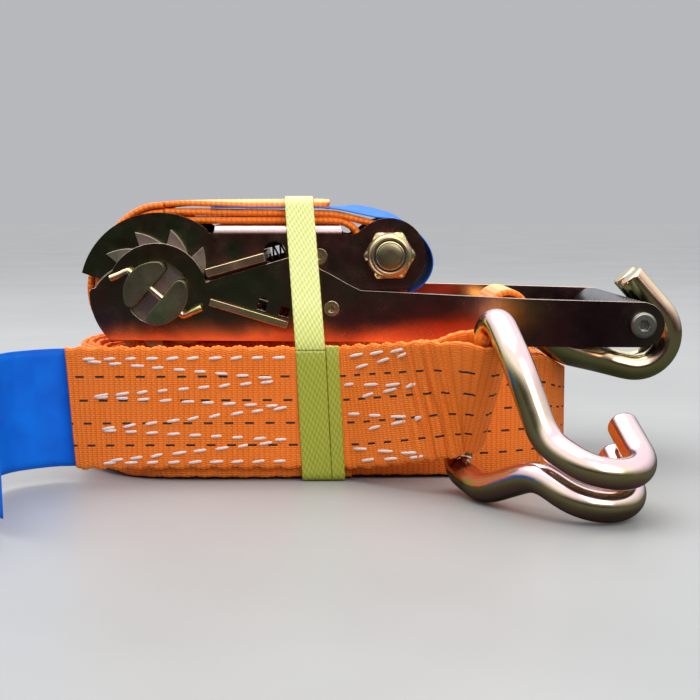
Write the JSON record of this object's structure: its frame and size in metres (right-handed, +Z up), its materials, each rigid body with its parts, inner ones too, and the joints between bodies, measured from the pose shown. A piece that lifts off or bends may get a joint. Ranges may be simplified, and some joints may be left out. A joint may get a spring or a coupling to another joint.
{
  "type": "ratchet tie down",
  "caption": "Bundled webbing tie down: a ratchet tensioner with a wide roller handle and short hooked strap, strapped on top of the coiled long hooked strap by a packing band.",
  "frame": {"origin": "the packing band's underside on the ground, under the middle of the coiled strap", "axes": "+Z up, +X along the coil from the spindle end towards the grip, -Y towards the front with the sewn eye"},
  "size_m": [0.2866, 0.2119, 0.1152],
  "materials": {
    "frame_steel": "dark olive yellow-zinc plating",
    "handle_steel": "dark olive yellow-zinc plating",
    "plated_gold": "yellow-zinc plating, bright",
    "hook_steel": "yellow-zinc plating, iridescent",
    "wheel_steel": "yellow-zinc plating, matt",
    "spring_steel": "bright spring wire",
    "webbing": "woven polyester, orange",
    "label": "woven label, blue",
    "band": "woven packing band, yellow-green"
  },
  "bodies": {
    "coil": {"long_strap_coil": "webbing", "long_strap_eye": "webbing", "long_strap_label": "label", "packing_band_lower": "band", "packing_band_second_wrap": "band"},
    "handle": {"handle_plate_near": "handle_steel", "handle_plate_far": "handle_steel", "handle_bridge": "plated_gold", "handle_cross_rivet": "plated_gold", "handle_pawl_spring": "spring_steel", "grip_bolt": "wheel_steel", "grip_bolt_nut": "wheel_steel", "short_strap_under": "webbing", "short_strap_bend": "webbing"},
    "frame": {"ratchet_frame": "frame_steel", "frame_bolt": "plated_gold", "frame_bolt_nut": "plated_gold", "frame_bolt_sleeve": "plated_gold", "frame_cross_rivet": "plated_gold", "frame_pawl_spring": "spring_steel", "short_strap_top": "webbing", "short_strap_label": "label", "packing_band_upper": "band"},
    "spindle": {"half_shaft_upper": "wheel_steel", "half_shaft_lower": "wheel_steel", "ratchet_wheel_near": "wheel_steel", "ratchet_wheel_far": "wheel_steel", "cotter_pins": "plated_gold"},
    "frame_pawl": {"frame_pawl": "plated_gold"},
    "handle_pawl": {"handle_pawl": "plated_gold"},
    "ratchet_hook": {"ratchet_claw_hook": "hook_steel"},
    "strap_hook": {"strap_claw_hook": "hook_steel"},
    "grip": {"grip_roller": "wheel_steel"}
  },
  "joints": [
    {"name": "lift_off", "type": "slide", "parent": "coil", "child": "handle", "axis": [0, 0, 1], "range_m": [0, 0.0345]},
    {"name": "handle_swing", "type": "hinge", "parent": "handle", "child": "frame", "pos_m": [-0.0701, 0, 0.0755], "axis": [0, -1, 0], "range_deg": [0, 130.91], "deforming": ["short_strap_bend"]},
    {"name": "spindle_turn", "type": "hinge", "parent": "frame", "child": "spindle", "pos_m": [-0.0701, 0, 0.0755], "axis": [0, 1, 0], "range_deg": [0, 32.73]},
    {"name": "frame_pawl_slide", "type": "slide", "parent": "frame", "child": "frame_pawl", "axis": [0.9636, 0, 0.2672], "range_m": [0, 0.00801], "deforming": ["frame_pawl_spring"]},
    {"name": "handle_pawl_slide", "type": "slide", "parent": "handle", "child": "handle_pawl", "axis": [-0.9573, 0, 0.289], "range_m": [0, 0.0045], "deforming": ["handle_pawl_spring"]},
    {"name": "grip_spin", "type": "hinge", "parent": "handle", "child": "grip", "pos_m": [0.1277, 0, 0.0633], "axis": [0, 1, 0], "continuous": true},
    {"name": "ratchet_hook_pivot", "type": "hinge", "parent": "handle", "child": "ratchet_hook", "pos_m": [0.078, 0, 0.067], "axis": [0, -1, 0], "range_deg": [0, 6]},
    {"name": "strap_hook_pivot", "type": "hinge", "parent": "coil", "child": "strap_hook", "pos_m": [0.05594, -0.08614, 0.04077], "axis": [-0.1772, 0.3584, -0.9166], "range_deg": [-20, 20]}
  ],
  "couplings": [
    {"joint": "lift_off", "follows": "handle_swing", "m_per_rad": 0.015},
    {"joint": "frame_pawl_slide", "follows": "spindle_turn", "m_per_rad": 0.014006}
  ]
}
